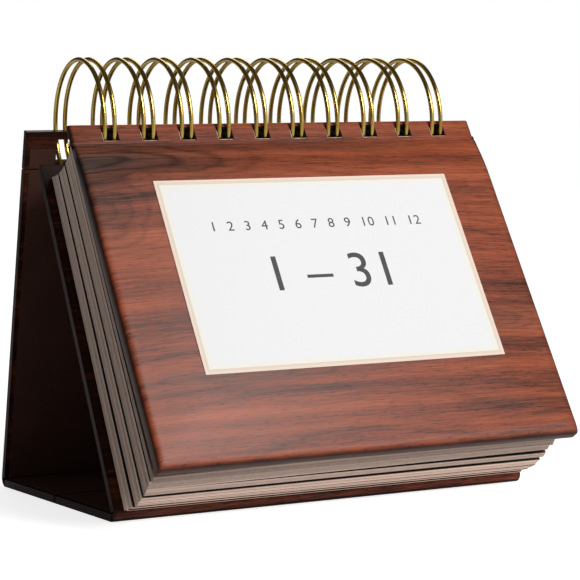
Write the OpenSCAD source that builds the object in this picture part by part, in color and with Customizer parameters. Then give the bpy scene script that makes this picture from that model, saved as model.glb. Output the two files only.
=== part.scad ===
// Perpetual flip calendar: an easel of wrapped boards, a twin-loop wire, packs of leaves and a padded cover.
// The wire's axis runs along X, and the packs and the cover turn about it. The easel's base stands on z = 0.

/* [Binding wire] */
// Number of double loops
loop_count = 10; // [6:1:12]
// Distance from one double loop to the next
loop_pitch = 12.7; // [11:0.1:13.5]
// Radius of a loop, at the middle of the wire
ring_r = 20.4; // [19:0.1:22]
// Thickness of the wire
wire_d = 1.4; // [0.9:0.1:1.5]
// Distance between the two wires of a loop
pair_gap = 3.2; // [2.8:0.1:3.6]
// Bend of the wire at the ends of each foot
foot_bend_r = 1.5; // [1.2:0.1:2]

/* [Slots] */
// Width of a slot
slot_w = 5.2; // [5:0.1:6]
// Height of a slot in the cover and the leaves
slot_h = 4.6; // [4.4:0.1:5.4]
// Height of a slot in the page support
support_slot_h = 6.8; // [6:0.1:7.2]
// Height of a slot in the back panel
back_slot_h = 7; // [6.6:0.1:7.6]
// How far the middle of a slot in the cover lies above the wire
cover_slot_up = 0.2; // [0.1:0.05:0.3]
// How far the middle of a slot in a leaf lies below the wire
leaf_slot_down = 1; // [0.6:0.1:1.2]
// How far the middle of a slot in the page support lies above the wire
support_slot_up = 1.5; // [1:0.1:1.6]
// How far the middle of a slot in the back panel lies above the wire
back_slot_up = 0.4; // [0.3:0.1:0.5]

/* [Front cover] */
// Width of the cover
cover_w = 140; // [136:1:160]
// Height of the cover
cover_h = 115; // [100:1:125]
// Lean of the cover from upright
cover_lean = 31.2; // [30:0.1:33]
// Height of the cover's top edge above the wire
cover_margin = 4.1; // [3.6:0.1:5]
// Place of the cover on the wire, as an angle round its axis from the rear
cover_angle = 191.1; // [189:0.1:194]
// Soft pad between the cover's board and its wrap
pad_t = 2.6; // [1.5:0.1:3]
// Thickness of the board in the cover's binding strip
strip_board_t = 1.2; // [1:0.1:1.4]
// Paper left below the slots, down to the middle of the crease
crease_below = 1; // [0.8:0.1:2]
// Width of the crease between the binding strip and the panel
crease_w = 1.2; // [1:0.1:1.6]

/* [Label] */
// Width of the label
label_w = 101; // [60:1:120]
// Height of the label
label_h = 65; // [40:1:80]
// Thickness of the label
label_t = 0.25; // [0.2:0.05:0.5]
// Height of the label's middle above the cover panel's lower edge
label_up = 60; // [50:1:70]
// Distance of the label's middle from the middle of the cover
label_x = 1.5; // [-5:0.5:5]

/* [Leaves] */
// Thickness of one pack
pack_t = 2.5; // [1.5:0.1:2.7]
// Width of a leaf
page_w = 135; // [133:1:150]
// Height of a leaf
page_h = 109; // [95:1:110]
// Height of a leaf's top edge above the wire
page_margin = 5.5; // [4:0.1:6]

/* [Easel] */
// Width of the easel
case_w = 140; // [136:1:160]
// Height of the page support, from its fold to its top edge
support_h = 113.1; // [105:0.1:125]
// Lean of the page support from upright
support_lean = 26.9; // [26:0.1:28]
// Height of the page support's top edge above the wire
support_margin = 8.9; // [8:0.1:10]
// Place of the page support on the wire, as an angle round its axis from the rear
support_angle = 277; // [275:0.1:279]
// Lean of the back panel from upright
back_lean = 15.4; // [13:0.1:18]
// Height of the back panel's top edge above the wire
back_margin = 6.5; // [6:0.1:6.6]
// Place of the back panel on the wire, as an angle round its axis from the rear
back_angle = -20.9; // [-22:0.1:-19]
// Height of the back panel's binding strip below its slots
back_strip_below = 2.5; // [2:0.1:5]
// Gap between two boards at the middle fold
middle_gap = 1.6; // [1:0.1:3]

/* [Board and paper] */
// Thickness of the boards
board_t = 1.9; // [1.6:0.1:2.1]
// Thickness of the wood-print wrap
wrap_t = 0.25; // [0.2:0.05:0.4]
// Thickness of the dark liner
liner_t = 0.25; // [0.2:0.05:0.4]
// Width of the wrap's turned-in edges
turn_in = 5.5; // [3:0.5:8]
// Margin of wrap left round the liner
liner_inset = 1.5; // [1:0.1:2.5]
// Gap left between a cut edge and the next piece
paper_gap = 0.3; // [0.2:0.05:0.5]
// Slip left where a fold meets the piece that turns on it
fold_slip = 0.02; // [0.02:0.01:0.1]

/* [Hidden] */
$fn = 48;
pack_count = 8;

wood = [0.42, 0.17, 0.11];
dark_paper = [0.16, 0.07, 0.05];
grey_board = [0.55, 0.5, 0.44];
past = 1; // how far a cut runs past the face it opens

// Thickness of a wrapped and lined panel, of the cover's wrapped board and of its binding strip
case_t = wrap_t + board_t + wrap_t + liner_t;
cover_t = wrap_t + board_t + wrap_t;
strip_t = wrap_t + strip_board_t + wrap_t;

// Points in the side view are [y, z] from the wire's axis
function ring_point(angle) = ring_r * [cos(angle), sin(angle)];
function up(lean) = [sin(lean), cos(lean)];
function rearward(lean) = [cos(lean), -sin(lean)];

// Fold lines: the inner faces of the panels meet at the front and rear folds
support_below = support_h - support_margin;
support_slot = ring_point(support_angle);
front_fold_at = support_slot + rearward(support_lean) * case_t / 2 - up(support_lean) * support_below;
axis_z = case_t - front_fold_at[1];
back_slot = ring_point(back_angle);
back_inner = back_slot - rearward(-back_lean) * case_t / 2;
back_below = (back_inner[1] + axis_z - case_t) / cos(back_lean);
rear_fold_at = back_inner - up(-back_lean) * back_below;
base_half = (rear_fold_at[0] - front_fold_at[0]) / 2;
base_len = base_half - middle_gap / 2;
fold_end = fold_slip / case_t * 180 / PI;
back_strip_z = back_slot_up - back_slot_h / 2 - back_strip_below;

// The cover's crease and lower edge, and the soft front of its panel
cover_slot = ring_point(cover_angle);
crease_z = cover_slot_up - slot_h / 2 - crease_below;
panel_top = crease_z - crease_w / 2;
panel_low = cover_margin - cover_h;
strip_low = crease_z + crease_w / 2;
board_front = wrap_t - cover_t / 2;
panel_front = board_front - pad_t - wrap_t;

// The whole stands centred on the origin, from the cover's lower edge to the rear fold
cover_round = cover_slot + rearward(cover_lean) * board_front + up(cover_lean) * (panel_low + wrap_t + pad_t);
front_reach = cover_round[0] - pad_t - wrap_t;
rear_reach = rear_fold_at[0] + case_t;
axis_y = -(front_reach + rear_reach) / 2;

// Packs hang between the cover's strip and the page support: share is 0 at the cover and 1 at the support
chord = support_slot - cover_slot;
chord_len = norm(chord);
pack_room = (chord_len - cover_t / 2 - case_t / 2 - pack_count * pack_t) / (pack_count + 1);
function pack_share(k) = (cover_t / 2 + pack_room + pack_t / 2 + (k - 1) * (pack_t + pack_room)) / chord_len;
function pack_lean(k) = cover_lean + (support_lean - cover_lean) * pack_share(k);
function drop_to_ring(p, v) = p * v + sqrt((p * v) * (p * v) + ring_r * ring_r - p * p);
function pack_slot(k) =
    let (p = cover_slot + chord * pack_share(k), v = up(pack_lean(k)))
    p - v * drop_to_ring(p, v);
function pack_slope(k) =
    let (s = pack_slot(k), a = atan2(s[1], s[0]) + pack_lean(k))
    -cos(a) / sin(a);

// The wire closes behind the page support: its feet lie on the support's webs and the tips end just past them
foot_clear = (case_t / 2 + wire_d / 2 + paper_gap) / abs(sin(support_angle + support_lean));
foot_at = support_angle + asin(foot_clear / ring_r);
tip_room = foot_bend_r + pair_gap / 2 + 2 * wire_d;
tip_at = foot_at - 360 + asin(tip_room / ring_r);
// A bend swells a little, and the loops and the straight runs go this far into it
bend_d = wire_d + 0.04;
run_in = 0.1;
function loop_x(i) = (i - (loop_count - 1) / 2) * loop_pitch;

// Least gap between neighbouring stretches of the wire, measured on points along a tip and the feet beside it
tip_points = [for (a = [180:10:360]) [pair_gap / 2 * cos(a), ring_r * (tip_at - foot_at + 360) * PI / 180
    + pair_gap / 2 * sin(a)]];
foot_points = [for (side = [-1, 1], a = [0:10:90]) [side * (pair_gap / 2 + foot_bend_r * (1 - cos(a))),
    foot_bend_r * sin(a)]];
tip_gap = min([for (t = tip_points, f = foot_points) norm(t - f)]) - bend_d;
wire_gap = min(tip_gap, pair_gap - wire_d, loop_pitch - pair_gap - wire_d);
echo(wire_gap = wire_gap);

// Places a panel: local z runs up the panel, and local -y is its outer face
module panel_frame(at, lean, outer_rear = false) {
    translate([0, axis_y + at[0], axis_z + at[1]])
        rotate([-lean, 0, 0])
            rotate([0, 0, outer_rear ? 180 : 0])
                children();
}

module support_frame() {
    panel_frame(support_slot, support_lean) children();
}

module back_frame() {
    panel_frame(back_slot, -back_lean, outer_rear = true) children();
}

module cover_frame() {
    panel_frame(cover_slot, cover_lean) children();
}

// The base lies with its outer face down. Local z runs forwards
module base_frame(at) {
    panel_frame(at, -90) translate([0, -case_t / 2, 0]) children();
}

// Extrudes a side view along X
module along_x(width) {
    rotate([90, 0, 90]) linear_extrude(width, center = true) children();
}

module block(width, y0, y1, z0, z1) {
    translate([-width / 2, y0, z0]) cube([width, y1 - y0, z1 - z0]);
}

// A row of slots, cut through y0 to y1 with the middle at height z
module slot_row(height, y0, y1, z) {
    for (i = [0:loop_count - 1])
        translate([loop_x(i), 0, 0]) block(slot_w, y0, y1, z - height / 2, z + height / 2);
}

// A board inside its wrap. top and low say which edges the wrap goes round
module panel_board(width, thick, z0, z1, top = false, low = false, board = board_t) {
    y0 = wrap_t - thick / 2;
    block(width - 2 * wrap_t, y0, y0 + board, z0 + (low ? wrap_t : 0), z1 - (top ? wrap_t : 0));
}

// The wrap of a board: its outer face, its edges and the turned-in margins on its inner face
module panel_wrap(width, thick, z0, z1, top = false, low = false, board = board_t) {
    y0 = -thick / 2;
    y1 = y0 + 2 * wrap_t + board;
    difference() {
        block(width, y0, y1, z0, z1);
        block(width - 2 * wrap_t, y0 + wrap_t, y1 - wrap_t, low ? z0 + wrap_t : z0 - past,
            top ? z1 - wrap_t : z1 + past);
        block(width - 2 * turn_in, y1 - wrap_t - past, y1 + past, low ? z0 + turn_in : z0 - past,
            top ? z1 - turn_in : z1 + past);
    }
}

// The liner glued over the turned-in margins, filling the bare board between them
module panel_liner(width, thick, z0, z1, top = false, low = false, top_inset = liner_inset) {
    y0 = -thick / 2 + wrap_t + board_t;
    fill_low = low ? z0 + turn_in : z0 + paper_gap;
    fill_top = top ? z1 - turn_in : z1 - paper_gap;
    block(width - 2 * turn_in, y0, y0 + wrap_t, fill_low, fill_top);
    block(width - 2 * liner_inset, y0 + wrap_t, y0 + wrap_t + liner_t,
        low ? z0 + liner_inset : fill_low, top ? z1 - top_inset : fill_top);
}

// A fold of the wrap, rounded about a fold line from angle a0 to a1
module fold_arc(at, a0, a1) {
    reach = 2 * case_t;
    mid = (a0 + a1) / 2;
    color(wood) translate([0, axis_y + at[0], axis_z + at[1]]) along_x(case_w)
        intersection() {
            difference() {
                circle(case_t);
                circle(case_t - wrap_t);
            }
            polygon(concat([[0, 0]], [for (a = [a0, mid, a1]) reach * [cos(a), sin(a)]]));
        }
}

module support_slots() {
    slot_row(support_slot_h, -case_t, case_t, support_slot_up);
}

module page_support_board() {
    color(grey_board) support_frame() difference() {
        panel_board(case_w, case_t, -support_below, support_margin, top = true);
        support_slots();
    }
}

module page_support_wrap() {
    color(wood) support_frame() difference() {
        panel_wrap(case_w, case_t, -support_below, support_margin, top = true);
        support_slots();
    }
}

module page_support_liner() {
    color(dark_paper) support_frame() difference() {
        panel_liner(case_w, case_t, -support_below, support_margin, top = true);
        support_slots();
    }
}

module front_fold() {
    fold_arc(front_fold_at, 180 - support_lean, 270 - fold_end);
}

module rear_fold() {
    fold_arc(rear_fold_at, 270, 360 + back_lean - fold_end);
}

// A bend of the wire about a point on the ring, in the plane of X and the ring's tangent
module wire_bend(x, at_angle, radius, a0, turn) {
    p = ring_point(at_angle);
    translate([x, axis_y + p[0], axis_z + p[1]]) rotate([at_angle, 0, 0])
        rotate([90, 0, 0]) rotate([0, 0, a0])
            rotate_extrude(angle = turn) translate([radius, 0]) circle(d = bend_d);
}

module wire_loop(x) {
    end = run_in / ring_r * 180 / PI;
    for (side = [-1, 1])
        translate([x + side * pair_gap / 2, axis_y, axis_z]) rotate([90, 0, 90]) rotate([0, 0, tip_at - end])
            rotate_extrude(angle = foot_at - tip_at + 2 * end) translate([ring_r, 0]) circle(d = wire_d);
    wire_bend(x, tip_at, pair_gap / 2, 180, 180);
}

// The foot from one loop to the next: a bend, a straight run along X and a bend
module wire_foot(x0, x1) {
    p = ring_point(foot_at);
    run = x1 - x0 - 2 * foot_bend_r + 2 * run_in;
    wire_bend(x0 + foot_bend_r, foot_at, foot_bend_r, 90, 90);
    wire_bend(x1 - foot_bend_r, foot_at, foot_bend_r, 0, 90);
    translate([x0 + foot_bend_r - run_in, axis_y + p[0], axis_z + p[1]]) rotate([foot_at, 0, 0])
        translate([0, 0, foot_bend_r]) rotate([0, 90, 0]) cylinder(d = wire_d, h = run);
}

module wire_binding() {
    color("goldenrod") {
        for (i = [0:loop_count - 1])
            wire_loop(loop_x(i));
        for (i = [0:loop_count - 2])
            wire_foot(loop_x(i) + pair_gap / 2, loop_x(i + 1) - pair_gap / 2);
    }
}

// A pack of leaves. Its edges and slots slant as each leaf follows the wire a little further round
module leaf_pack(k) {
    slant = pack_slope(k);
    function at(y, z) = [y, z + y * slant];
    module slanted(half_t, z0, z1) {
        polygon([at(-half_t, z0), at(half_t, z0), at(half_t, z1), at(-half_t, z1)]);
    }
    color([0.42, 0.36, 0.32]) panel_frame(pack_slot(k), pack_lean(k)) difference() {
        along_x(page_w) slanted(pack_t / 2, page_margin - page_h, page_margin);
        for (i = [0:loop_count - 1])
            translate([loop_x(i), 0, 0]) along_x(slot_w)
                slanted(pack_t, -leaf_slot_down - slot_h / 2, -leaf_slot_down + slot_h / 2);
    }
}

module cover_slots() {
    slot_row(slot_h, -strip_t, strip_t, cover_slot_up);
}

module cover_strip_board() {
    color(grey_board) cover_frame() difference() {
        panel_board(cover_w, strip_t, strip_low, cover_margin, top = true, board = strip_board_t);
        cover_slots();
    }
}

module cover_strip_wrap() {
    color(wood) cover_frame() difference() {
        panel_wrap(cover_w, strip_t, strip_low, cover_margin, top = true, board = strip_board_t);
        cover_slots();
    }
}

module cover_crease() {
    color(wood) cover_frame()
        block(cover_w, -strip_t / 2, -strip_t / 2 + wrap_t, panel_top + fold_slip, strip_low);
}

// A profile centred on its length, from its front at -pad_t - grow to back, with both front corners rounded
module soft_profile(length, grow, back) {
    r = pad_t + grow;
    half = length / 2 + grow;
    difference() {
        translate([-half, -r]) square([2 * half, r + back]);
        for (side = [-1, 1])
            translate([side * (half - r), 0]) difference() {
                translate([side > 0 ? 0 : -r - past, -r - past]) square(r + past);
                circle(r);
            }
    }
}

// The cover panel's pillowed form, rounded in both directions. back is measured from the board's front
module soft_body(grow, back) {
    z0 = panel_low + wrap_t;
    z1 = panel_top - wrap_t;
    width = cover_w - 2 * wrap_t;
    translate([0, board_front, (z0 + z1) / 2]) intersection() {
        linear_extrude(z1 - z0 + 2 * grow, center = true) soft_profile(width, grow, back);
        along_x(width + 2 * grow) mirror([1, -1]) soft_profile(z1 - z0, grow, back);
    }
}

module cover_board() {
    color(grey_board) cover_frame()
        panel_board(cover_w, cover_t, panel_low, panel_top, top = true, low = true);
}

module cover_pad() {
    color("ivory") cover_frame() soft_body(0, 0);
}

module cover_wrap() {
    back = board_front + board_t;
    color(wood) cover_frame() difference() {
        soft_body(wrap_t, board_t + wrap_t);
        soft_body(0, board_t);
        block(cover_w - 2 * turn_in, back - past, back + wrap_t + past,
            panel_low + turn_in, panel_top - turn_in);
    }
}

module cover_liner() {
    color(dark_paper) cover_frame()
        panel_liner(cover_w, cover_t, panel_low, panel_top, top = true, low = true);
}

module label_card() {
    color("white") cover_frame() translate([label_x, 0, 0])
        block(label_w, panel_front - label_t, panel_front, panel_low + label_up - label_h / 2,
            panel_low + label_up + label_h / 2);
}

module base_front_frame() {
    base_frame(front_fold_at) children();
}

module base_rear_frame() {
    base_frame(rear_fold_at) children();
}

module base_front_board() {
    color(grey_board) base_front_frame() panel_board(case_w, case_t, -base_len, 0);
}

module base_front_wrap() {
    color(wood) base_front_frame() panel_wrap(case_w, case_t, -base_len, 0);
}

module base_front_liner() {
    color(dark_paper) base_front_frame() panel_liner(case_w, case_t, -base_len, 0);
}

module middle_fold() {
    color(wood) base_front_frame()
        block(case_w, -case_t / 2, -case_t / 2 + wrap_t, -base_len - middle_gap + fold_slip, -base_len);
}

module base_rear_board() {
    color(grey_board) base_rear_frame() panel_board(case_w, case_t, 0, base_len);
}

module base_rear_wrap() {
    color(wood) base_rear_frame() panel_wrap(case_w, case_t, 0, base_len);
}

module base_rear_liner() {
    color(dark_paper) base_rear_frame() panel_liner(case_w, case_t, 0, base_len);
}

module back_board() {
    color(grey_board) back_frame() panel_board(case_w, case_t, -back_below, back_strip_z - paper_gap);
}

module back_wrap() {
    color(wood) back_frame() panel_wrap(case_w, case_t, -back_below, back_strip_z - paper_gap);
}

module back_liner() {
    color(dark_paper) back_frame() panel_liner(case_w, case_t, -back_below, back_strip_z - paper_gap);
}

module back_slots() {
    slot_row(back_slot_h, -case_t, case_t, back_slot_up);
}

module back_strip_board() {
    color(grey_board) back_frame() difference() {
        panel_board(case_w, case_t, back_strip_z, back_margin, top = true);
        back_slots();
    }
}

module back_strip_wrap() {
    color(wood) back_frame() difference() {
        panel_wrap(case_w, case_t, back_strip_z, back_margin, top = true);
        back_slots();
    }
}

module back_strip_liner() {
    color(dark_paper) back_frame() difference() {
        panel_liner(case_w, case_t, back_strip_z, back_margin, top = true, top_inset = turn_in);
        back_slots();
    }
}

page_support_board();
page_support_wrap();
page_support_liner();
front_fold();
wire_binding();
for (k = [1:pack_count])
    leaf_pack(k);
cover_strip_board();
cover_strip_wrap();
cover_crease();
cover_board();
cover_pad();
cover_wrap();
cover_liner();
label_card();
base_front_board();
base_front_wrap();
base_front_liner();
middle_fold();
base_rear_board();
base_rear_wrap();
base_rear_liner();
rear_fold();
back_board();
back_wrap();
back_liner();
back_strip_board();
back_strip_wrap();
back_strip_liner();
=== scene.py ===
import math
import random

import bmesh
import bpy
from mathutils import Matrix, Vector


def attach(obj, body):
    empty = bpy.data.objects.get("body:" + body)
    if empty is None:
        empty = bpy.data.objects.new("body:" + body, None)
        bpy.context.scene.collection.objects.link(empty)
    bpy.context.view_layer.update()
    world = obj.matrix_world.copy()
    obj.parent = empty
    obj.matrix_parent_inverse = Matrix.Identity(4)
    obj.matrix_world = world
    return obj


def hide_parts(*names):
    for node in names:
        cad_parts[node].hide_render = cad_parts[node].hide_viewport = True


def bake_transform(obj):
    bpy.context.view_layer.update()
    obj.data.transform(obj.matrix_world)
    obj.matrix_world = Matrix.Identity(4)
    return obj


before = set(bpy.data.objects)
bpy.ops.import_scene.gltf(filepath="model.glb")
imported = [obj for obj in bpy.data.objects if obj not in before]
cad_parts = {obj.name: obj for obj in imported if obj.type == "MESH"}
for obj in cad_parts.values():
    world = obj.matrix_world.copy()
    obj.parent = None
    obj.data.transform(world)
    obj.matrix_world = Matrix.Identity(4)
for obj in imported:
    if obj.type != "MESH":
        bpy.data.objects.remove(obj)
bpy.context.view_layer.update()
bpy.context.scene.view_settings.view_transform = "Standard"

# Page support: the front leg of the easel, a panel of dyed board that the leaves lie on. Wood-print paper is
# glued round it and turned in at the edges, and a dark paper liner covers the turned edges inside the tent.
MM = 0.001
RING_Y, RING_Z, RING_R = 14.9933, 116.4227, 20.4
support_angle, support_lean = 277, 26.9
# The easel pieces keep 0.6 of their print colour at their side edges, a painted shade.
case_w, far_below, easel_edge_shade_keep = 140.0, -400.0, 0.6
dyed_board, dark_liner = (0.085, 0.058, 0.044), (0.066, 0.027, 0.0195)


def stand_panel(angle, lean, faces_back=False):
    """Where a panel hangs on the wire: local z runs up the panel, local -y is its outer face, in metres."""
    round_ring = math.radians(angle)
    at = Vector((0, RING_Y + RING_R * math.cos(round_ring), RING_Z + RING_R * math.sin(round_ring)))
    turn = Matrix.Rotation(math.radians(-lean), 4, "X")
    if faces_back:
        turn = turn @ Matrix.Rotation(math.pi, 4, "Z")
    return Matrix.Translation(at * MM) @ turn


def add_node(tree, kind, sockets=None, **settings):
    made = tree.nodes.new(kind)
    for name, value in settings.items():
        setattr(made, name, value)
    for key, value in (sockets or {}).items():
        if isinstance(value, bpy.types.NodeSocket):
            tree.links.new(value, made.inputs[key])
        else:
            made.inputs[key].default_value = value
    return made


def start_finish(name):
    finish = bpy.data.materials.new(name)
    finish.use_nodes = True
    tree = finish.node_tree
    return finish, tree, tree.nodes["Principled BSDF"]


def panel_spot(tree, place, middle=(0, 0, 0)):
    """Millimetres along a panel, out of its face and up it, from a point of the panel."""
    inverse = place.inverted()
    coords = add_node(tree, "ShaderNodeTexCoord")
    laid = add_node(tree, "ShaderNodeMapping", {
        "Vector": coords.outputs["Object"], "Location": inverse.translation / MM - Vector(middle),
        "Rotation": inverse.to_euler("XYZ"), "Scale": (1 / MM,) * 3})
    return add_node(tree, "ShaderNodeSeparateXYZ", {0: laid.outputs[0]}).outputs


def reckon(tree, operation, a, b=0.0, c=0.0, clamp=False):
    return add_node(tree, "ShaderNodeMath", {0: a, 1: b, 2: c}, operation=operation, use_clamp=clamp).outputs[0]


def panel_grain(tree, place):
    """Millimetres along the panel, up the panel and round its edges, so that a print runs on over an edge."""
    spot = panel_spot(tree, place)
    around = reckon(tree, "ADD", spot["Z"], spot["Y"])
    return add_node(tree, "ShaderNodeCombineXYZ", {"X": spot["X"], "Y": around}).outputs[0]


def grain_noise(tree, flat, along, across, seed, detail=2.0, rough=0.5):
    """Noise drawn out along the grain: one blotch is about along by across millimetres."""
    drawn = add_node(tree, "ShaderNodeVectorMath", {
        0: flat, 1: (1 / along, 1 / across, 0), 2: (seed, seed * 0.7, seed * 1.3)}, operation="MULTIPLY_ADD")
    return add_node(tree, "ShaderNodeTexNoise", {
        "Vector": drawn.outputs[0], "Scale": 1.0, "Detail": detail, "Roughness": rough}).outputs[0]


def shade_ramp(tree, fac, stops):
    """A colour ramp. Each stop is a place with a colour, or with one number for a grey."""
    ramp = add_node(tree, "ShaderNodeValToRGB", {0: fac})
    while len(ramp.color_ramp.elements) < len(stops):
        ramp.color_ramp.elements.new(0.5)
    for element, (at, colour) in zip(ramp.color_ramp.elements, stops):
        element.position = at
        element.color = (*colour, 1) if isinstance(colour, tuple) else (colour, colour, colour, 1)
    return ramp.outputs[0]


def mix_colours(tree, share, under, over, way="MIX"):
    return add_node(tree, "ShaderNodeMix", {0: share, 6: under, 7: over},
                    data_type="RGBA", blend_type=way).outputs[2]


def wood_print(name, place, seed, painted_shade=0.0, shine=0.08, hearts=(), low_end=far_below, edge_shade_keep=easel_edge_shade_keep):
    """Printed rosewood paper: flame figure, broad streaks, fine grain, short dark pores and grey-brown heartwood.
    Its darkening setting darkens the whole print, a painted shade for the easel pieces that stand in shade. Each
    heart is the place, half length, half width and strength of a heartwood streak.
    The colour is painted darker towards the sides and towards low_end, a painted shade on the edges, which keep
    the given share of their colour there."""
    ring_gap, swell_rings, ripple_rings = 4.5, 7.0, 0.25
    finish, tree, skin = start_finish(name)
    flat = panel_grain(tree, place)
    along_up = add_node(tree, "ShaderNodeSeparateXYZ", {0: flat}).outputs
    swell = grain_noise(tree, flat, 95, 34, seed, detail=1.0)
    ripple = grain_noise(tree, flat, 24, 5, seed + 3)
    bent = reckon(tree, "MULTIPLY_ADD", swell, swell_rings, reckon(tree, "MULTIPLY", ripple, ripple_rings))
    rings = reckon(tree, "MULTIPLY_ADD", along_up["Y"], 1 / ring_gap, bent)
    ring_tone = shade_ramp(tree, reckon(tree, "FRACT", rings), [
        (0.0, 0.33), (0.14, 0.5), (0.6, 0.58), (0.86, 0.5), (1.0, 0.33)])
    show = shade_ramp(tree, grain_noise(tree, flat, 60, 24, seed + 5, detail=1.0), [(0.36, 0.2), (0.6, 1.0)])
    figure = mix_colours(tree, show, (0.5, 0.5, 0.5, 1), ring_tone)
    bands = grain_noise(tree, flat, 150, 6, seed + 7, detail=3.0, rough=0.55)
    fine = grain_noise(tree, flat, 12, 0.3, seed + 9, detail=3.0, rough=0.7)
    dashes = grain_noise(tree, flat, 3.2, 0.36, seed + 11, detail=1.0)
    pores = reckon(tree, "MULTIPLY_ADD", dashes, 8.0, -4.7, clamp=True)
    # The darkening setting lowers the whole tone, a painted shade.
    tone = reckon(tree, "MULTIPLY_ADD", figure, 0.6, -0.835 - painted_shade)
    tone = reckon(tree, "ADD", fine, reckon(tree, "MULTIPLY_ADD", bands, 1.05, tone))
    tone = reckon(tree, "MULTIPLY_ADD", pores, -0.22, tone, clamp=True)
    colour = shade_ramp(tree, tone, [
        (0.0, (0.024, 0.0085, 0.006)), (0.25, (0.105, 0.028, 0.015)), (0.5, (0.280, 0.062, 0.025)),
        (0.75, (0.420, 0.098, 0.038)), (1.0, (0.535, 0.154, 0.060))])

    def from_heart(axis, middle, half, noise, wander):
        """Distance from a streak's middle in halves of its size, where noise lets the streak's edge wander."""
        straight = reckon(tree, "MULTIPLY_ADD", along_up[axis], 1 / half, -(middle + wander / 2) / half)
        return reckon(tree, "MULTIPLY_ADD", noise, wander / half, straight)

    if hearts:
        grey_brown = shade_ramp(tree, tone, [
            (0.0, (0.018, 0.0115, 0.009)), (0.5, (0.066, 0.039, 0.031)), (1.0, (0.150, 0.086, 0.066))])
        reach, flames = 0.0, []
        for x, y, half_length, half_width, strength in hearts:
            along = from_heart("X", x, half_length, swell, 30)
            across = from_heart("Y", y, half_width, ripple, 8)
            away = reckon(tree, "MULTIPLY_ADD", along, along, reckon(tree, "MULTIPLY", across, across))
            distance = reckon(tree, "SQRT", away)
            flame = shade_ramp(tree, reckon(tree, "FRACT", reckon(tree, "MULTIPLY", distance, 3.0)), [
                (0.0, 0.45), (0.25, 1.0), (0.7, 1.0), (1.0, 0.45)])
            near = reckon(tree, "MULTIPLY_ADD", distance, -1.2, 2.0, clamp=True)
            flames.append((reckon(tree, "MULTIPLY", near, strength), flame))
            fading = reckon(tree, "EXPONENT", reckon(tree, "MULTIPLY", away, -1.0))
            reach = reckon(tree, "MULTIPLY_ADD", fading, strength, reach, clamp=True)
        colour = mix_colours(tree, reach, colour, grey_brown)
        for near, flame in flames:
            colour = mix_colours(tree, near, colour, flame, "MULTIPLY")
    spot = panel_spot(tree, place)
    # Painted shade: the colour darkens towards the side edges and towards low_end.
    from_side = reckon(tree, "SUBTRACT", case_w / 2, reckon(tree, "ABSOLUTE", spot["X"]))
    from_edge = reckon(tree, "MINIMUM", from_side, reckon(tree, "SUBTRACT", spot["Z"], low_end))
    painted_edge_shade = shade_ramp(tree, reckon(tree, "MULTIPLY", from_edge, 0.5), [(0.1, edge_shade_keep), (0.6, 1.0)])
    colour = mix_colours(tree, 1.0, colour, painted_edge_shade, "MULTIPLY")
    gloss = reckon(tree, "MULTIPLY_ADD", fine, 0.2, 0.26)
    soft_edge = add_node(tree, "ShaderNodeBevel", {"Radius": 0.35 * MM}, samples=4)
    raised = add_node(tree, "ShaderNodeBump", {
        "Strength": 0.12, "Distance": 0.06 * MM, "Height": fine, "Normal": soft_edge.outputs[0]})
    tree.links.new(colour, skin.inputs["Base Color"])
    tree.links.new(gloss, skin.inputs["Roughness"])
    tree.links.new(raised.outputs[0], skin.inputs["Normal"])
    skin.inputs["Specular IOR Level"].default_value = shine
    return finish


def fibre_paper(name, colour, spread, rough, place, cell=0.5):
    """Unprinted paper or board: a soft mottling and short fibres, with no gloss."""
    finish, tree, skin = start_finish(name)
    flat = panel_grain(tree, place)
    mottle = grain_noise(tree, flat, 14, 11, 2.1, detail=3.0)
    fibre = grain_noise(tree, flat, cell * 3, cell, 5.3, detail=3.0, rough=0.65)
    tone = reckon(tree, "MULTIPLY_ADD", fibre, 0.6, reckon(tree, "MULTIPLY", mottle, 0.4))
    dark = tuple(c * (1 - spread) for c in colour)
    light = tuple(c * (1 + spread) for c in colour)
    tree.links.new(shade_ramp(tree, tone, [(0.3, dark), (0.7, light)]), skin.inputs["Base Color"])
    raised = add_node(tree, "ShaderNodeBump", {"Strength": 0.25, "Distance": 0.04 * MM, "Height": fibre})
    tree.links.new(raised.outputs[0], skin.inputs["Normal"])
    skin.inputs["Roughness"].default_value = rough
    skin.inputs["Specular IOR Level"].default_value = 0.15
    return finish


def clad(node, finish):
    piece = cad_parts[node]
    piece.data.materials.clear()
    piece.data.materials.append(finish)


support_place = stand_panel(support_angle, support_lean)
# The support's print is darkened, a painted shade for the shadow that the leaf block casts on it.
clad("page_support_wrap", wood_print("wood_print_support", support_place, 3.0, painted_shade=0.48))
clad("page_support_board", fibre_paper("dyed_board", dyed_board, 0.25, 0.9, support_place))
clad("page_support_liner", fibre_paper("liner_support", dark_liner, 0.3, 0.7, support_place))

# Base of the easel: two lined boards in the same wood-print sheet, which stand on the desk.
# They fold upwards along the gap between them when the easel is put away.
base_place = Matrix.Rotation(math.radians(90), 4, "X")
# The base print, which the folds share, is darkened as painted shade.
base_wood = wood_print("wood_print_base", base_place, 11.0, painted_shade=0.46)
base_liner = fibre_paper("liner_base", dark_liner, 0.3, 0.7, base_place)
for half in ("base_front", "base_rear"):
    clad(half + "_wrap", base_wood)
    clad(half + "_board", fibre_paper("dyed_board_" + half, dyed_board, 0.25, 0.9, base_place))
    clad(half + "_liner", base_liner)

# Folds of the easel: bare strips of the wood-print sheet between two boards. Each is bent round its
# fold line where the boards meet.
case_t, wrap_t, middle_gap, back_lean = 2.65, 0.25, 1.6, 15.4
front_line, middle_line, rear_line = (-28.4826, 2.65), (16.7639, 0.0), (62.0104, 2.65)


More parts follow.
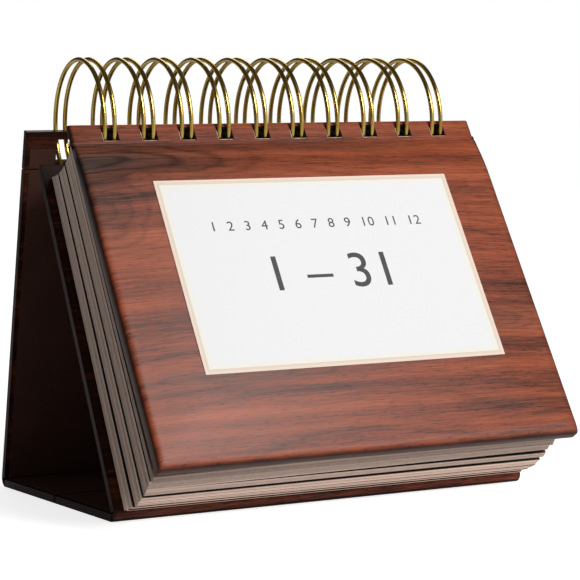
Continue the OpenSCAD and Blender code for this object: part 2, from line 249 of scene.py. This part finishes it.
def closed_piece(name, points, faces, finish, smooth=True):
    shape = bpy.data.meshes.new(name)
    shape.from_pydata([Vector(p) * MM for p in points], [], faces)
    piece = bpy.data.objects.new(name, shape)
    bpy.context.scene.collection.objects.link(piece)
    tidy = bmesh.new()
    tidy.from_mesh(shape)
    bmesh.ops.recalc_face_normals(tidy, faces=tidy.faces)
    tidy.to_mesh(shape)
    tidy.free()
    shape.materials.append(finish)
    if smooth:
        shape.polygons.foreach_set("use_smooth", [True] * len(shape.polygons))
        shape.set_sharp_from_angle(angle=math.radians(40))
    return piece


def bent_strip(name, outside, inside, finish):
    """A paper strip across the easel, from a row of outer points and a row of inner points in [y, z]."""
    count, columns = len(outside), 15
    points, faces = [], []
    for c in range(columns):
        x = -case_w / 2 + case_w * c / (columns - 1)
        points += [(x, *p) for p in outside] + [(x, *p) for p in inside]
    for c in range(columns - 1):
        a, b = c * 2 * count, (c + 1) * 2 * count
        for i in range(count - 1):
            faces.append((a + i, a + i + 1, b + i + 1, b + i))
            faces.append((a + count + i, b + count + i, b + count + i + 1, a + count + i + 1))
        faces.append((a, b, b + count, a + count))
        faces.append((a + count - 1, a + 2 * count - 1, b + 2 * count - 1, b + count - 1))
    for end in (0, (columns - 1) * 2 * count):
        for i in range(count - 1):
            faces.append((end + i, end + i + 1, end + count + i + 1, end + count + i))
    return closed_piece(name, points, faces, finish)


def round_fold(line, first, last):
    """The outer and the inner row of a strip that is bent round a fold line from one angle to another."""
    steps = 14
    angles = [math.radians(first + (last - first) * i / steps) for i in range(steps + 1)]
    return [[(line[0] + radius * math.cos(a), line[1] + radius * math.sin(a)) for a in angles]
            for radius in (case_t, case_t - wrap_t)]


def flat_fold(line, width):
    """The outer and the inner row of a strip that lies flat across the gap between two boards."""
    steps = 6
    return [[(line[0] - width / 2 + width * i / steps, z) for i in range(steps + 1)] for z in (0.0, wrap_t)]


def bend_between(paper, node):
    """Puts a paper strip in place of its CAD solid: its placement goes into its mesh and the CAD solid is hidden.
    """
    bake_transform(paper)
    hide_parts(node)


for node, near, far, (outside, inside) in (
        ("front_fold", "easel_front", "base_front", round_fold(front_line, 180 - support_lean, 270)),
        ("rear_fold", "base_rear", "back_panel", round_fold(rear_line, 270, 360 + back_lean)),
        ("middle_fold", "base_front", "base_rear", flat_fold(middle_line, middle_gap))):
    bend_between(bent_strip(node + "_paper", outside, inside, base_wood), node)

# Back panel: the rear leg, wrapped and lined like the page support. Its top is a slotted binding strip
# that rides on the wire, with the wrap turned over its edge and the liner glued up to the turn-in.
back_place = stand_panel(-20.9, -back_lean, faces_back=True)
# The back's print is darkened, a painted shade for the shade inside the tent.
back_layers = {
    "_wrap": wood_print("wood_print_back", back_place, 17.0, painted_shade=0.38),
    "_liner": fibre_paper("liner_back", dark_liner, 0.3, 0.7, back_place),
    "_board": fibre_paper("dyed_board_back", dyed_board, 0.25, 0.9, back_place)}
for part in ("back", "back_strip"):
    for layer, finish in back_layers.items():
        clad(part + layer, finish)


# Binding wire: one length of gold-coated steel wire bent into ten twin loops. Its feet lie behind the page
# support, and the loops pass through every slot and close against the feet.
def speckle(tree, scale, detail=2.0, rough=0.5):
    """Even noise with about scale spots to the metre."""
    coords = add_node(tree, "ShaderNodeTexCoord")
    return add_node(tree, "ShaderNodeTexNoise", {
        "Vector": coords.outputs["Object"], "Scale": scale, "Detail": detail, "Roughness": rough}).outputs[0]


gold, tree, skin = start_finish("gold_wire")
drawn, cloud = speckle(tree, 900.0, 3.0, 0.6), speckle(tree, 120.0)
plating = shade_ramp(tree, cloud, [(0.3, (0.52, 0.34, 0.065)), (0.7, (0.76, 0.54, 0.14))])
round_wire = add_node(tree, "ShaderNodeBevel", {"Radius": 0.5 * MM}, samples=8)
tree.links.new(plating, skin.inputs["Base Color"])
tree.links.new(reckon(tree, "MULTIPLY_ADD", drawn, 0.16, 0.15), skin.inputs["Roughness"])
tree.links.new(round_wire.outputs[0], skin.inputs["Normal"])
skin.inputs["Metallic"].default_value = 1.0
clad("wire_binding", gold)
wire_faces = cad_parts["wire_binding"].data.polygons
wire_faces.foreach_set("use_smooth", [True] * len(wire_faces))

# Leaves: about 180 sheets of uncoated paper, each punched with ten slots. They hang on the wire in eight packs,
# and the cut edges of a pack never line up quite, which shows as fine lines along the block.
loop_count, loop_pitch, slot_w, slot_h = 10, 12.7, 5.2, 4.6
loop_x = [(i - (loop_count - 1) / 2) * loop_pitch for i in range(loop_count)]
page_w, page_h, page_margin, page_slot_mid = 135.0, 109.0, 5.5, -1.0
pack_count, pack_t, leaves_in_pack, leaf_fill = 8, 2.5, 22, 0.96
cover_angle, cover_lean, cover_t = 191.1, 31.2, 2.4


def ring_point(angle):
    return Vector((math.cos(math.radians(angle)), math.sin(math.radians(angle)))) * RING_R


def hang_pack(k):
    """Where pack k crosses the wire, its lean, and how far its edges slant as the leaves follow the wire round."""
    front, rear = ring_point(cover_angle), ring_point(support_angle)
    chord = rear - front
    room = (chord.length - cover_t / 2 - case_t / 2 - pack_count * pack_t) / (pack_count + 1)
    share = (cover_t / 2 + room + pack_t / 2 + (k - 1) * (pack_t + room)) / chord.length
    lean = cover_lean + (support_lean - cover_lean) * share
    p, v = front + chord * share, Vector((math.sin(math.radians(lean)), math.cos(math.radians(lean))))
    at = p - v * (p.dot(v) + math.sqrt(p.dot(v) ** 2 + RING_R ** 2 - p.dot(p)))
    angle = math.degrees(math.atan2(at.y, at.x))
    return angle, lean, -1 / math.tan(math.radians(angle + lean))


def slotted_sheet(xs, zs, holes, near, far):
    """A closed sheet over a grid of cuts and rows, with a hole through it at each cell of holes.
    near and far give the sheet's two faces. The walls of the holes come back as a list of their own."""
    wide, size = len(xs), len(xs) * len(zs)
    points = [face(x, z) for face in (near, far) for z in zs for x in xs]
    outer, walls = [], []
    for r in range(len(zs) - 1):
        for c in range(wide - 1):
            if (c, r) in holes:
                continue
            a = r * wide + c
            b, d, e = a + 1, a + wide + 1, a + wide
            outer += [(a, b, d, e), (size + a, size + e, size + d, size + b)]
            sides = (((c, r - 1), (a, b)), ((c + 1, r), (b, d)), ((c, r + 1), (d, e)), ((c - 1, r), (e, a)))
            for cell, (m, n) in sides:
                if cell in holes:
                    walls.append((m, size + m, size + n, n))
                elif not (0 <= cell[0] < wide - 1 and 0 <= cell[1] < len(zs) - 1):
                    outer.append((m, size + m, size + n, n))
    return points, outer, walls


def set_on(place, points):
    """Points given in millimetres on a panel, brought to where the panel hangs."""
    return [place @ (Vector(p) * MM) / MM for p in points]


# How far a pack's leaves fan out at the bottom, to the front and to the rear, at the left and at the right side.
# Packs that touch look like one clump, and the shorter reaches leave gaps between clumps, made dark by real shade
# and by the painted shade on the outer leaves.
left_fan = ((1.6, 0.3), (0.0, 1.92), (1.92, 1.92), (1.92, 0.95),
            (1.75, 1.92), (1.92, 1.0), (1.6, 1.92), (1.92, 1.0))
right_fan = ((1.5, 1.92), (1.92, 1.65), (1.92, 0.4), (1.92, 0.4),
             (1.92, 1.92), (1.92, 1.92), (1.92, 1.92), (1.92, 1.2))
fan_at_top = 0.75
pack_slip_x, pack_slip_z, pack_bow = 0.3, 0.35, 0.06
leaf_slip_x, leaf_slip_z, leaf_turn = 0.06, 0.05, 0.0006


def leaf_block(k, rng):
    angle, lean, slant = hang_pack(k)
    cuts = sorted([-page_w / 2, page_w / 2] + [x + s * slot_w / 2 for x in loop_x for s in (-1, 1)])
    low = page_margin - page_h
    slot_low, slot_top = page_slot_mid - slot_h / 2, page_slot_mid + slot_h / 2
    rows = [low, low + 3, low + 12, low * 0.6, low * 0.3, slot_low, slot_top, page_margin]
    holes = {(c, rows.index(slot_low)) for c in range(1, len(cuts) - 1, 2)}
    pack_x, pack_z = rng.uniform(-pack_slip_x, pack_slip_x), rng.uniform(-pack_slip_z, pack_slip_z)
    bow = rng.uniform(-pack_bow, pack_bow)
    points, faces = [], []
    for n in range(leaves_in_pack):
        dx, dz = pack_x + rng.gauss(0, leaf_slip_x), pack_z + rng.gauss(0, leaf_slip_z)
        tilt = rng.gauss(0, leaf_turn)

        def sheet_face(side):
            deep = (n + 0.5 + side * leaf_fill / 2) / leaves_in_pack
            reach = [(front + rear) * deep - front for front, rear in (left_fan[k - 1], right_fan[k - 1])]

            def place_point(x, z):
                t = (z - low) / page_h
                across = x / page_w + 0.5
                y = (reach[0] * (1 - across) + reach[1] * across) * (1 + (fan_at_top - 1) * t)
                return (x + dx * (1 - t), y + bow * math.sin(math.pi * t),
                        z + (dz + x * tilt) * (1 - t) ** 2 + y * slant)
            return place_point

        leaf, outer, walls = slotted_sheet(cuts, rows, holes, sheet_face(-1), sheet_face(1))
        faces += [tuple(v + len(points) for v in face) for face in outer + walls]
        points += leaf
    return set_on(stand_panel(angle, lean), points), faces


def leaf_finish(name, gap_shaded):
    """Uncoated paper that differs a little from leaf to leaf.
    With gap shade on, the leaf's faces get painted shade where they look into a narrow gap."""
    finish, tree, skin = start_finish(name)
    island = add_node(tree, "ShaderNodeNewGeometry").outputs["Random Per Island"]
    fleck = speckle(tree, 700.0, 3.0, 0.6)
    tone = reckon(tree, "MULTIPLY_ADD", fleck, 0.35, reckon(tree, "MULTIPLY", island, 0.65))
    colour = shade_ramp(tree, tone, [
        (0.1, (0.44, 0.325, 0.27)), (0.5, (0.65, 0.50, 0.42)), (0.9, (0.76, 0.615, 0.535))])
    if gap_shaded:
        # Painted shade: an ambient-occlusion mask darkens the page faces that look into narrow gaps.
        between = add_node(tree, "ShaderNodeAmbientOcclusion", {"Distance": 6.0 * MM}, samples=8).outputs["AO"]
        painted_gap_shade = shade_ramp(tree, between, [(0.6, 0.02), (0.97, 1.0)])
        mean_lean = math.radians((support_lean + cover_lean) / 2)
        facing = add_node(tree, "ShaderNodeVectorMath", {
            0: add_node(tree, "ShaderNodeTexCoord").outputs["Normal"],
            1: (0, -math.cos(mean_lean), math.sin(mean_lean))}, operation="DOT_PRODUCT").outputs["Value"]
        page_face = reckon(tree, "GREATER_THAN", reckon(tree, "ABSOLUTE", facing), 0.6)
        colour = mix_colours(tree, page_face, colour, painted_gap_shade, "MULTIPLY")
    tree.links.new(colour, skin.inputs["Base Color"])
    skin.inputs["Roughness"].default_value = 0.85
    skin.inputs["Specular IOR Level"].default_value = 0.2
    return finish


# The first and the last leaf of each pack take the paper with painted gap shade.
leaf_paper, gap_shaded_leaf_paper = leaf_finish("leaf_paper", False), leaf_finish("gap_shaded_leaf_paper", True)
for k in range(1, pack_count + 1):
    points, faces = leaf_block(k, random.Random(40 + k))
    block = closed_piece(f"leaves_{k}", points, faces, leaf_paper, smooth=False)
    block.data.materials.append(gap_shaded_leaf_paper)
    leaf_faces = len(faces) // leaves_in_pack
    for face in list(block.data.polygons[:leaf_faces]) + list(block.data.polygons[-leaf_faces:]):
        face.material_index = 1
    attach(block, f"leaf_pack_{k}")
    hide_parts(f"leaf_pack_{k}")

# Front cover, binding strip: a thin board in the cover's wood-print wrap, punched with the ten slots. The punch
# tore the print a little, which left pale paper on the left and lower edges of each slot.
cover_place = stand_panel(cover_angle, cover_lean)
cover_h, cover_half = 115, 70.0
strip_low, strip_top, strip_front, strip_round, strip_rim = -2.5, 4.1, -0.85, 0.8, 0.4
slot_mid = 0.2
panel_low = strip_top - cover_h
cover_hearts = (
    (-74, -13, 46, 8, 1.0), (-66, -32, 16, 12, 0.5), (-40, -88, 42, 2.6, 0.5),
    (58, -74, 20, 5, 0.4), (20, -8, 34, 2.5, 0.4))
# The cover keeps only 0.2 of its print colour at the sides and the lower edge, a painted shade on the pad's rolled
# edges.
cover_wood = wood_print(
    "wood_print_cover", cover_place, 29.0, shine=0.3, hearts=cover_hearts, low_end=panel_low, edge_shade_keep=0.2)
cut_board = fibre_paper("dyed_board_cover", (0.06, 0.04, 0.03), 0.25, 0.9, cover_place)


def rolled(distance, radius):
    """How far up a rolled edge is, from 0 at the edge to 1 where the roll ends."""
    return math.sqrt(max(0.0, 1 - (1 - min(1.0, distance / radius)) ** 2))


def strip_face(x, z):
    up = 1.0
    for distance in (cover_half - abs(x), strip_top - z):
        up *= strip_rim + (1 - strip_rim) * rolled(distance, strip_round)
    return x, -strip_front + 2 * strip_front * up, z


edge_steps = [strip_round * f for f in (0, 0.05, 0.2, 0.5, 1)]
xs = sorted([side * (cover_half - f) for f in edge_steps for side in (-1, 1)]
            + [x + side * slot_w / 2 for x in loop_x for side in (-1, 1)])
zs = sorted([strip_low, slot_mid - slot_h / 2, slot_mid + slot_h / 2] + [strip_top - f for f in edge_steps])
holes = {(xs.index(x - slot_w / 2), 1) for x in loop_x}
points, outer, walls = slotted_sheet(xs, zs, holes, strip_face, lambda x, z: (x, -strip_front, z))
strip = closed_piece("cover_binding_strip", set_on(cover_place, points), outer + walls, cover_wood)
strip.data.materials.append(cut_board)
for face in strip.data.polygons[len(outer):]:
    face.material_index = 1
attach(strip, "cover_strip")
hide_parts("cover_strip_wrap", "cover_strip_board")

torn_white = fibre_paper("torn_paper", (0.66, 0.54, 0.42), 0.15, 0.9, cover_place, cell=0.2)
tear_in, tear_least, tear_more, tear_at_ends = 0.03, 0.03, 0.17, 0.35
tear_front, tear_back = strip_front - 0.035, strip_front + 0.05
rng = random.Random(7)
points, faces = [], []
for x in loop_x:
    left, low = x - slot_w / 2, slot_mid - slot_h / 2
    runs = [[(left, low + slot_h * t) for t in (0.0, 0.12, 0.25, 0.4, 0.55, 0.7)],
            [(left + slot_w * t, low) for t in (0.0, 0.15, 0.3, 0.5, 0.68, 0.82, 0.95)]]
    for way, run in zip(((-1, 0), (0, -1)), runs):
        start = len(points)
        for i, (px, pz) in enumerate(run):
            reach = (tear_least + rng.random() * tear_more) * (tear_at_ends if i in (0, len(run) - 1) else 1)
            for y in (tear_front, tear_back):
                points += [(px - way[0] * tear_in, y, pz - way[1] * tear_in),
                           (px + way[0] * reach, y, pz + way[1] * reach)]
        for i in range(len(run) - 1):
            a, b = start + i * 4, start + (i + 1) * 4
            faces += [(a, a + 1, b + 1, b), (a + 2, b + 2, b + 3, a + 3),
                      (a, b, b + 2, a + 2), (a + 1, a + 3, b + 3, b + 1)]
        for a in (start, start + (len(run) - 1) * 4):
            faces.append((a, a + 1, a + 3, a + 2))
torn = closed_piece("torn_slot_edges", set_on(cover_place, points), faces, torn_white, smooth=False)
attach(torn, "cover_strip")

# Front cover, crease: the bare wrap under the slots, without a board behind it and pressed into a shallow groove.
# The panel lifts on it.
crease_z, crease_w, groove_deep, panel_step, crease_steps = -3.1, 1.2, 0.05, 0.08, 8
groove = []
for i in range(crease_steps + 1):
    share = i / crease_steps - 0.5
    sunk = groove_deep * math.cos(math.pi * share) ** 2
    groove.append((strip_front - panel_step * (share + 0.5) + sunk, crease_z - crease_w * share))


def on_cover(row):
    return [(p.y, p.z) for p in set_on(cover_place, [(0, y, z) for y, z in row])]


outside, inside = on_cover(groove), on_cover([(y + wrap_t, z) for y, z in groove])
crease = bent_strip("cover_crease_paper", outside, inside, cover_wood)
bend_between(crease, "cover_crease")

# Front cover, panel: a board with a thin foam pad on its front, wrapped in the wood print. The wrap pulls the
# pad down round the edges and most towards the crease, and is turned in and glued at the back.
panel_top, board_front, pad_rise = -3.7, -0.95, 2.85
panel_mid, panel_half = (panel_low + panel_top) / 2, (panel_top - panel_low) / 2
corner_r, crease_rise, crease_sunk, crown_reach, crown_edge = 0.8, 14.0, 0.007, 21.0, 0.8
side_roll, low_roll = (2.2, 0.55), (3.8, 0.3)
roll_steps = [0, 0.12, 0.4, 0.8, 1.3, 1.9, 2.6, 3.4, 4.6, 6.2, 8.5, 12, 17, 23]
turn_in = ((0.0, 0.85), (0.1, 1.08), (0.35, 1.2), (5.5, 1.2), (5.5, 0.96), (0.24, 0.96), (0.24, -0.96))
clad("cover_board", cut_board)


def spread_lines(half):
    """Lines across the pad, close together where its edges roll over."""
    middle = [half * (-0.6 + 0.15 * i) for i in range(9)]
    middle = [v for v in middle if abs(v) < half - 26]
    return [-half + s for s in roll_steps] + middle + [half - s for s in reversed(roll_steps)]


def ease_corner(x, z):
    """Rounds the outline's corners: a square corner becomes a quarter circle of corner_r."""
    straight_x, straight_z = cover_half - corner_r, panel_half - corner_r
    qx, qz = abs(x) - straight_x, abs(z) - straight_z
    if qx <= 0 or qz <= 0:
        return x, z
    pull = max(qx, qz) / math.hypot(qx, qz)
    return math.copysign(straight_x + qx * pull, x), math.copysign(straight_z + qz * pull, z)


def pad_height(x, z):
    from_side, from_low, from_top = cover_half - abs(x), panel_half + z, panel_half - z

    def crowned(distance):
        s = min(1.0, distance / crown_reach)
        return crown_edge + (1 - crown_edge) * s * s * (3 - 2 * s)

    pulled = -crease_sunk + (1 + crease_sunk) * math.sin(math.pi / 2 * min(1.0, from_top / crease_rise))
    walled = [wall + (1 - wall) * rolled(distance, radius)
              for distance, (radius, wall) in ((from_side, side_roll), (from_low, low_roll))]
    return pad_rise * walled[0] * walled[1] * min(crowned(from_side), crowned(from_low)) * pulled


xs, zs = spread_lines(cover_half), spread_lines(panel_half)
points, faces = [], []
for z in zs:
    for x in xs:
        ex, ez = ease_corner(x, z)
        points.append((ex, board_front - pad_height(x, z), panel_mid + ez))
nx, nz = len(xs), len(zs)
for j in range(nz - 1):
    for i in range(nx - 1):
        faces.append((j * nx + i, j * nx + i + 1, (j + 1) * nx + i + 1, (j + 1) * nx + i))
rim = ([i for i in range(nx)] + [j * nx + nx - 1 for j in range(1, nz)]
       + [(nz - 1) * nx + i for i in range(nx - 2, -1, -1)] + [j * nx for j in range(nz - 2, 0, -1)])
last = rim
for inset, y in turn_in:
    fx, fz = (cover_half - inset) / cover_half, (panel_half - inset) / panel_half
    ring = list(range(len(points), len(points) + len(rim)))
    points += [(points[v][0] * fx, y, panel_mid + (points[v][2] - panel_mid) * fz) for v in rim]
    for i in range(len(rim)):
        n = (i + 1) % len(rim)
        faces.append((last[i], ring[i], ring[n], last[n]))
    last = ring
faces.append(tuple(last))
cushion = closed_piece("cover_cushion", set_on(cover_place, points), faces, cover_wood)
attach(cushion, "cover_panel")
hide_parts("cover_pad", "cover_wrap")
clad("cover_liner", fibre_paper("liner_cover", (0.05, 0.021, 0.015), 0.3, 0.7, cover_place))

# Label: a printed card glued on the front of the cover. A cream border runs round a white field, with a thin
# line just inside it, and plain numbers stand for the months and the days.
label_w, label_h, label_t, label_x, label_mid = 101.0, 65.0, 0.25, 1.5, panel_low + 60
label_front, ink_t, ink_gap = board_front - pad_rise - label_t, 0.015, 0.016
card, tree, skin = start_finish("label_card_print")
spot = panel_spot(tree, cover_place, (label_x, 0, label_mid))
from_side = reckon(tree, "SUBTRACT", label_w / 2, reckon(tree, "ABSOLUTE", spot["X"]))
from_end = reckon(tree, "SUBTRACT", label_h / 2, reckon(tree, "ABSOLUTE", spot["Z"]))
in_cm = reckon(tree, "DIVIDE", reckon(tree, "MINIMUM", from_side, from_end), 10.0)
printed = shade_ramp(tree, in_cm, [
    (0.0, (0.90, 0.70, 0.58)), (0.07, (0.90, 0.74, 0.62)), (0.08, (0.80, 0.68, 0.56)), (0.15, (0.80, 0.68, 0.56)),
    (0.16, (0.92, 0.87, 0.74)), (0.24, (0.91, 0.88, 0.80)), (0.3, (0.885, 0.885, 0.885))])
raised = add_node(tree, "ShaderNodeBump", {
    "Strength": 0.06, "Distance": 0.03 * MM, "Height": speckle(tree, 1500.0)})
tree.links.new(printed, skin.inputs["Base Color"])
tree.links.new(raised.outputs[0], skin.inputs["Normal"])
skin.inputs["Roughness"].default_value = 0.5
clad("label_card", card)

ink, tree, skin = start_finish("grey_ink")
pressed = shade_ramp(tree, speckle(tree, 2200.0), [(0.3, (0.035, 0.036, 0.038)), (0.7, (0.07, 0.071, 0.074))])
tree.links.new(pressed, skin.inputs["Base Color"])
skin.inputs["Roughness"].default_value = 0.6
for name, figures, size, above_mid, spacing in (
        ("month_numbers", "1  2  3  4  5  6  7  8  9  10  11  12", 4.6, 14.5, 1.12),
        ("day_numbers", "1 – 31", 17.0, -6.5, 1.05)):
    line = bpy.data.curves.new(name, "FONT")
    line.body = figures
    line.size = size * MM
    line.align_x = "CENTER"
    line.space_character = spacing
    line.extrude = ink_t * MM
    line.resolution_u = 6
    set_line = bpy.data.objects.new(name, line)
    bpy.context.scene.collection.objects.link(set_line)
    on_label = Matrix.Translation(Vector((label_x, label_front - ink_gap, label_mid + above_mid)) * MM)
    set_line.matrix_world = cover_place @ on_label @ Matrix.Rotation(math.radians(90), 4, "X")
    bpy.context.view_layer.update()
    shape = bpy.data.meshes.new_from_object(set_line.evaluated_get(bpy.context.evaluated_depsgraph_get()))
    shape.transform(set_line.matrix_world)
    bpy.data.objects.remove(set_line)
    number = bpy.data.objects.new(name, shape)
    bpy.context.scene.collection.objects.link(number)
    shape.materials.clear()
    shape.materials.append(ink)
    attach(number, "cover_panel")

# Studio: a white table in a white room that is darker on the left and above. A broad soft light stands at the
# front right and a weaker one behind. A small softbox gives the cover its sheen at the lower left, and a white
# card on the table throws light up on the edges of the leaves.
table_half, table_white, table_in_gloss = 9, 0.75, 0.08
floor_shape = bpy.data.meshes.new("white_table")
floor_shape.from_pydata([(-table_half, -table_half, 0), (table_half, -table_half, 0),
                         (table_half, table_half, 0), (-table_half, table_half, 0)], [], [(0, 1, 2, 3)])
table = bpy.data.objects.new("white_table", floor_shape)
bpy.context.scene.collection.objects.link(table)
white, tree, skin = start_finish("white_table")
skin.inputs["Base Color"].default_value = (table_white, table_white, table_white, 1)
skin.inputs["Roughness"].default_value = 0.9
skin.inputs["Specular IOR Level"].default_value = 0.0
path = add_node(tree, "ShaderNodeLightPath").outputs
seen = reckon(tree, "MAXIMUM", path["Is Camera Ray"], path["Is Transmission Ray"])
seen = reckon(tree, "MULTIPLY", seen, table_white)
seen = reckon(tree, "MULTIPLY_ADD", path["Is Glossy Ray"], table_in_gloss, seen)
lift = add_node(tree, "ShaderNodeEmission", {"Strength": seen})
both = add_node(tree, "ShaderNodeAddShader", {0: skin.outputs[0], 1: lift.outputs[0]})
tree.links.new(both.outputs[0], tree.nodes["Material Output"].inputs["Surface"])
floor_shape.materials.append(white)

world = bpy.data.worlds.new("white_room")
bpy.context.scene.world = world
world.use_nodes = True
tree = world.node_tree
coords = add_node(tree, "ShaderNodeTexCoord")
toward = add_node(tree, "ShaderNodeSeparateXYZ", {0: coords.outputs["Generated"]}).outputs
path = add_node(tree, "ShaderNodeLightPath").outputs
room = reckon(tree, "MULTIPLY_ADD", toward["X"], 0.1, 0.22)
in_front = reckon(tree, "MULTIPLY_ADD", toward["Y"], -1.0, -0.45, clamp=True)
at_right = reckon(tree, "MULTIPLY_ADD", toward["X"], 1.3, 0.2, clamp=True)
mirrored = reckon(tree, "ADD", in_front, at_right, clamp=True)
ceiling = reckon(tree, "MULTIPLY_ADD", toward["Z"], -1.5, 0.85, clamp=True)
mirrored = reckon(tree, "MAXIMUM", reckon(tree, "MULTIPLY", mirrored, ceiling), 0.05)
level = add_node(tree, "ShaderNodeMix", {0: path["Is Glossy Ray"], 2: room, 3: mirrored}).outputs[0]
seen = reckon(tree, "MAXIMUM", path["Is Camera Ray"], path["Is Transmission Ray"])
level = add_node(tree, "ShaderNodeMix", {0: seen, 2: level, 3: 1.0}).outputs[0]
tree.links.new(level, tree.nodes["Background"].inputs["Strength"])
tree.nodes["Background"].inputs["Color"].default_value = (1, 1, 1, 1)


def add_lamp(name, kind, power, turned):
    light = bpy.data.lights.new(name, kind)
    light.energy = power
    lamp = bpy.data.objects.new(name, light)
    lamp.rotation_euler = turned
    bpy.context.scene.collection.objects.link(lamp)
    return lamp


def facing_away(way):
    """The turn of a lamp that stands in the given direction and shines back from it."""
    return Vector(way).to_track_quat("Z", "Y").to_euler()


for name, way, spread, power in (
        ("front_right_softbox", (0.34, -0.82, 0.46), 22, 1.25), ("rear_softbox", (0.35, 0.7, 0.62), 30, 0.4)):
    add_lamp(name, "SUN", power, facing_away(way)).data.angle = math.radians(spread)

sheen_at, sheen_aim = Vector((0.165, -0.39, 0.45)), Vector((-0.04, -0.05, 0.03))
for name, power, at, turned, size, in_gloss in (
        ("table_reflector", 0.012, (0, -0.0425, 0.001), (math.pi, 0, 0), (0.15, 0.025), False),
        ("sheen_softbox", 1.05, sheen_at, facing_away(sheen_at - sheen_aim), (0.18, 0.12), True)):
    lamp = add_lamp(name, "AREA", power, turned)
    lamp.location = at
    lamp.data.shape = "RECTANGLE"
    lamp.data.size, lamp.data.size_y = size
    lamp.visible_camera, lamp.visible_glossy = False, in_gloss

# Camera: a long lens at the front left of the table, at about the height of the label's upper edge. It looks
# down a little and is turned a little on its axis, as the photograph was taken.
photo_px, focal_px = 580, 2189.147
azimuth, elevation, roll = math.radians(27.136), math.radians(2.923), math.radians(-1.449)
ahead = Vector((math.sin(azimuth) * math.cos(elevation), math.cos(azimuth) * math.cos(elevation),
                -math.sin(elevation)))
right = Vector((math.cos(azimuth), -math.sin(azimuth), 0))
over = right.cross(ahead)
right, over = (right * math.cos(roll) + over * math.sin(roll), over * math.cos(roll) - right * math.sin(roll))
eye = bpy.data.cameras.new("photo_camera")
eye.lens = focal_px * eye.sensor_width / photo_px
eye.clip_start = 0.01
camera = bpy.data.objects.new("photo_camera", eye)
camera.matrix_world = (Matrix.Translation((-0.310946, -0.616609, 0.098663))
                       @ Matrix((right, over, -ahead)).transposed().to_4x4())
bpy.context.scene.collection.objects.link(camera)
bpy.context.scene.camera = camera
